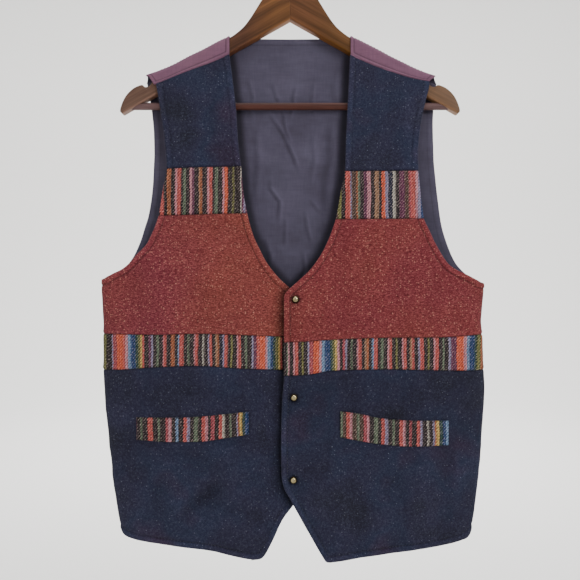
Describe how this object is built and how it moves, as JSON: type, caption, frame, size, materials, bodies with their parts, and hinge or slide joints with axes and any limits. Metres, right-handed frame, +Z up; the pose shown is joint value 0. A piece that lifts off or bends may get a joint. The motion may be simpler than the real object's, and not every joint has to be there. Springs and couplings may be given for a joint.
{
  "type": "wool vest on a wooden hanger",
  "caption": "Sleeveless patchwork wool waistcoat with a deep neckline, snapped overlapping front and welt pockets, hanging on a wooden clothes hanger.",
  "frame": {"origin": "inside top of the hanger's hook, where it rests on a rail", "axes": "+Z up, the vest's front faces -Y, its left front and the wearer's left are at +X"},
  "size_m": [0.4985, 0.0432, 0.8195],
  "materials": {
    "navy_wool": "felted wool, matt",
    "red_tweed": "tweed with light flecks, matt",
    "striped_weave": "handwoven warp stripes, matt",
    "mauve_cotton": "plain cotton, matt",
    "grey_lining": "plain cotton lining, matt",
    "snap_brass": "domed cap, polished",
    "hanger_wood": "stained and varnished, satin",
    "bar_wood": "stained and varnished, satin",
    "hook_wire": "bright plated wire"
  },
  "bodies": {
    "root": {"left_front_yoke": "navy_wool", "left_front_upper_band": "striped_weave", "left_front_chest": "red_tweed", "left_front_waist_band": "striped_weave", "left_front_skirt": "navy_wool", "right_front_yoke": "navy_wool", "right_front_upper_band": "striped_weave", "right_front_chest": "red_tweed", "right_front_waist_band": "striped_weave", "right_front_skirt": "navy_wool", "left_pocket_welt": "striped_weave", "right_pocket_welt": "striped_weave", "left_shoulder_strip": "mauve_cotton", "right_shoulder_strip": "mauve_cotton", "back_panel": "mauve_cotton", "back_lining": "grey_lining", "snap_1": "snap_brass", "snap_2": "snap_brass", "snap_3": "snap_brass", "hanger_left_arm": "hanger_wood", "hanger_right_arm": "hanger_wood", "hanger_bar": "bar_wood", "hanger_hook": "hook_wire"}
  },
  "joints": []
}
